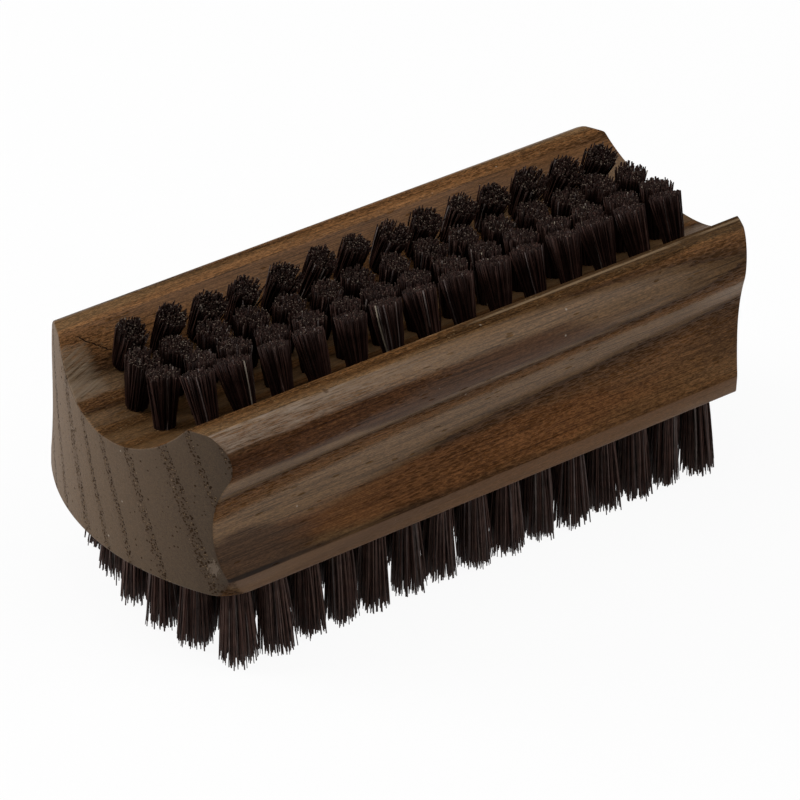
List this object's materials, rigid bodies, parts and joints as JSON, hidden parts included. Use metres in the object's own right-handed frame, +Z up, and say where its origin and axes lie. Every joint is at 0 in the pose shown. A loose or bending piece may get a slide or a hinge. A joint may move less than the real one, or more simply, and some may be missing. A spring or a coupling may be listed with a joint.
{
  "type": "nail brush",
  "caption": "Two-sided nail brush: moulded wooden block with bowed ends, short tufts in a round trough on top and longer tufts in its flat bottom, each held by a wire anchor.",
  "frame": {"origin": "under the middle of the block, on the plane of the lower bristle tips", "axes": "+X along the block, -Y the front as pictured, +Z up, with the trough on top"},
  "size_m": [0.095, 0.0382, 0.0386],
  "materials": {
    "wood": "satin, dark heat-treated open-grained hardwood",
    "bristle": "dark brown stiff natural bristle",
    "anchor_wire": "plain drawn flat wire"
  },
  "bodies": {
    "root": {"wood_block": "wood", "upper_tufts_front_outer": "bristle", "upper_tufts_front_inner": "bristle", "upper_tufts_back_inner": "bristle", "upper_tufts_back_outer": "bristle", "lower_tufts_front_outer": "bristle", "lower_tufts_front_middle": "bristle", "lower_tufts_front_inner": "bristle", "lower_tufts_back_inner": "bristle", "lower_tufts_back_middle": "bristle", "lower_tufts_back_outer": "bristle", "upper_anchors_front_outer": "anchor_wire", "upper_anchors_front_inner": "anchor_wire", "upper_anchors_back_inner": "anchor_wire", "upper_anchors_back_outer": "anchor_wire", "lower_anchors_front_outer": "anchor_wire", "lower_anchors_front_middle": "anchor_wire", "lower_anchors_front_inner": "anchor_wire", "lower_anchors_back_inner": "anchor_wire", "lower_anchors_back_middle": "anchor_wire", "lower_anchors_back_outer": "anchor_wire"}
  },
  "joints": []
}
